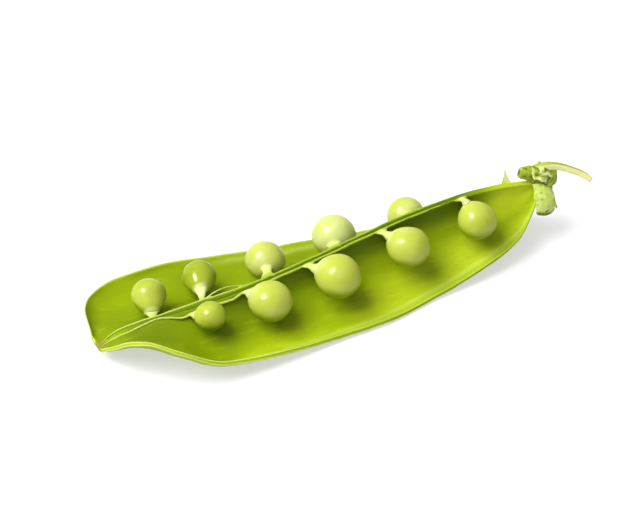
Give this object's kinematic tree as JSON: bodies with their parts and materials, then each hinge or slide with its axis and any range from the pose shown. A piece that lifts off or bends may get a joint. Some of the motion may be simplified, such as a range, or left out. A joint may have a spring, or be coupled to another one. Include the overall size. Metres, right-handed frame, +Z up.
{
  "type": "pea pod",
  "caption": "Green pea pod split along its back and laid open, with rows of round peas on pale stalks along the raised seam, a leafy calyx and a curved stem.",
  "frame": {"origin": "middle of the whole part's underside, on the surface that it lies on", "axes": "+X along the pod from its blunt tip to its stem, +Y from the front valve to the back valve, +Z up"},
  "size_m": [0.0944, 0.0302, 0.0134],
  "materials": {
    "pod_skin": "fresh yellow-green pod wall, satin inside and waxy outside",
    "seam_strand": "pale moist plant tissue",
    "pea_skin": "smooth pale green seed skin with a soft gloss",
    "calyx_leaf": "thin veined green leaf, dry at the tips",
    "stem_skin": "smooth green stalk, browned at the cut"
  },
  "bodies": {
    "root": {"pod_shell": "pod_skin", "seam_cord_front": "seam_strand", "seam_cord_back": "seam_strand", "pea_front_1": "pea_skin", "pea_front_2": "pea_skin", "pea_front_3": "pea_skin", "pea_front_4": "pea_skin", "pea_front_5": "pea_skin", "pea_back_1": "pea_skin", "pea_back_2": "pea_skin", "pea_back_3": "pea_skin", "pea_back_4": "pea_skin", "pea_back_5": "pea_skin", "calyx": "calyx_leaf", "stem": "stem_skin"}
  },
  "joints": []
}
